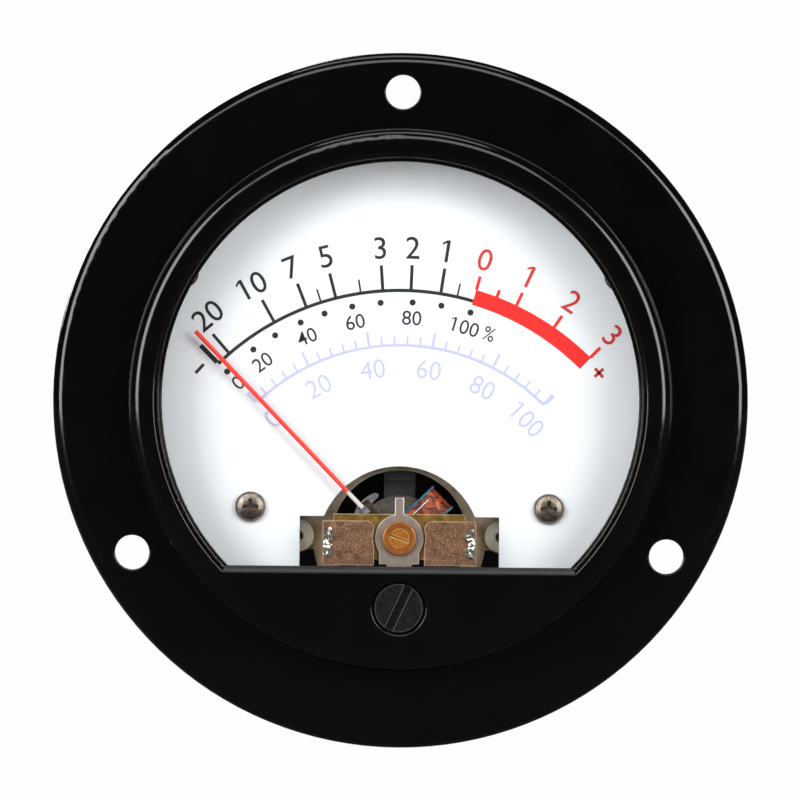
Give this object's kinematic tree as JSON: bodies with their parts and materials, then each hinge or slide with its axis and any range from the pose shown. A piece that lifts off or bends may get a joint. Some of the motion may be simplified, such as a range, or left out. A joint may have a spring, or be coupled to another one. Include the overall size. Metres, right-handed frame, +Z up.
{
  "type": "analog vu meter",
  "caption": "Round flanged panel meter with an arched level scale, a pivoted moving-coil pointer, a zero adjuster and rear stud terminals.",
  "frame": {"origin": "centre of the three fixing holes, on the flange's rear face", "axes": "dial faces -Y, +Y into the panel, +X right as the dial is read, +Z up"},
  "size_m": [0.08, 0.0535, 0.08],
  "materials": {
    "black_moulding": "satin to semi-gloss phenolic",
    "case_black": "fine matt moulding",
    "clear_pane": "clear and polished",
    "adjuster_black": "scuffed satin",
    "dial_paint": "matt cool off-white print ground",
    "aged_nickel": "aged nickel plate",
    "steel": "zinc plated",
    "brass": "bare brass",
    "red_pointer": "red enamel, clear root",
    "dark_carrier": "dark oxidised",
    "bobbin_varnish": "blue-green varnish",
    "copper_winding": "varnished copper",
    "fine_silver": "bare drawn wire",
    "spring_bronze": "phosphor bronze strip",
    "beige_plate": "dull passivated plate",
    "nylon": "natural nylon",
    "magnet_grey": "dark grey cast magnet",
    "support_grey": "dark moulded",
    "brown_board": "speckled phenolic paper",
    "bright_tin": "bright tinned",
    "pale_regulator": "bright with a warm cast",
    "orange_lacquer": "glossy lacquer over brass",
    "sapphire": "polished stone",
    "frame_black": "moulded",
    "red_insulation": "soft insulation",
    "black_insulation": "soft insulation"
  },
  "bodies": {
    "meter": {"front_housing": "black_moulding", "window_glass": "clear_pane", "dial_plate": "dial_paint", "dial_screws": "aged_nickel", "dial_posts": "brass", "front_hairspring": "spring_bronze", "rear_hairspring": "spring_bronze", "yoke_ring": "beige_plate", "yoke_washers": "nylon", "core_magnet": "magnet_grey", "core_supports": "support_grey", "front_bridge": "brass", "bridge_boards": "brown_board", "board_rivets": "bright_tin", "front_jewel_screw": "brass", "front_jewel": "sapphire", "front_lock_nut": "orange_lacquer", "rear_bridge": "brass", "rear_bridge_screws": "aged_nickel", "rear_spring_arm": "pale_regulator", "rear_jewel_screw": "brass", "rear_jewel": "sapphire", "rear_lock_nut": "orange_lacquer", "movement_frame": "frame_black", "frame_screws": "steel", "rear_case": "case_black", "closure_screws": "steel", "terminal_studs": "brass", "stud_washers": "steel", "stud_nuts": "brass", "solder_lugs": "bright_tin", "terminal_nuts": "brass", "positive_lead": "red_insulation", "negative_lead": "black_insulation"},
    "moving_coil": {"pointer": "red_pointer", "pointer_clip": "brass", "pointer_carrier": "dark_carrier", "balance_weights": "brass", "coil_bobbin": "bobbin_varnish", "coil_winding": "copper_winding", "coil_leads": "fine_silver", "front_spindle": "steel", "rear_spindle": "steel"},
    "zero_screw": {"zero_adjuster": "adjuster_black", "adjuster_clip": "steel"},
    "regulator": {"zero_regulator": "pale_regulator"}
  },
  "joints": [
    {"name": "pointer_swing", "type": "hinge", "parent": "meter", "child": "moving_coil", "pos_m": [0, 0, -0.0159], "axis": [0, 1, 0], "range_deg": [-2.5, 91.5], "stiffness_Nm_per_rad": 0.0002, "deforming": ["front_hairspring", "rear_hairspring"]},
    {"name": "adjuster_turn", "type": "hinge", "parent": "meter", "child": "zero_screw", "pos_m": [0, 0, -0.02384], "axis": [0, 1, 0], "range_deg": [-45, 45]},
    {"name": "regulator_turn", "type": "hinge", "parent": "meter", "child": "regulator", "pos_m": [0, 0, -0.0159], "axis": [0, 1, 0], "range_deg": [-7.1, 7.1]}
  ],
  "couplings": [
    {"joint": "adjuster_turn", "follows": "regulator_turn", "ratio": -5.618}
  ]
}
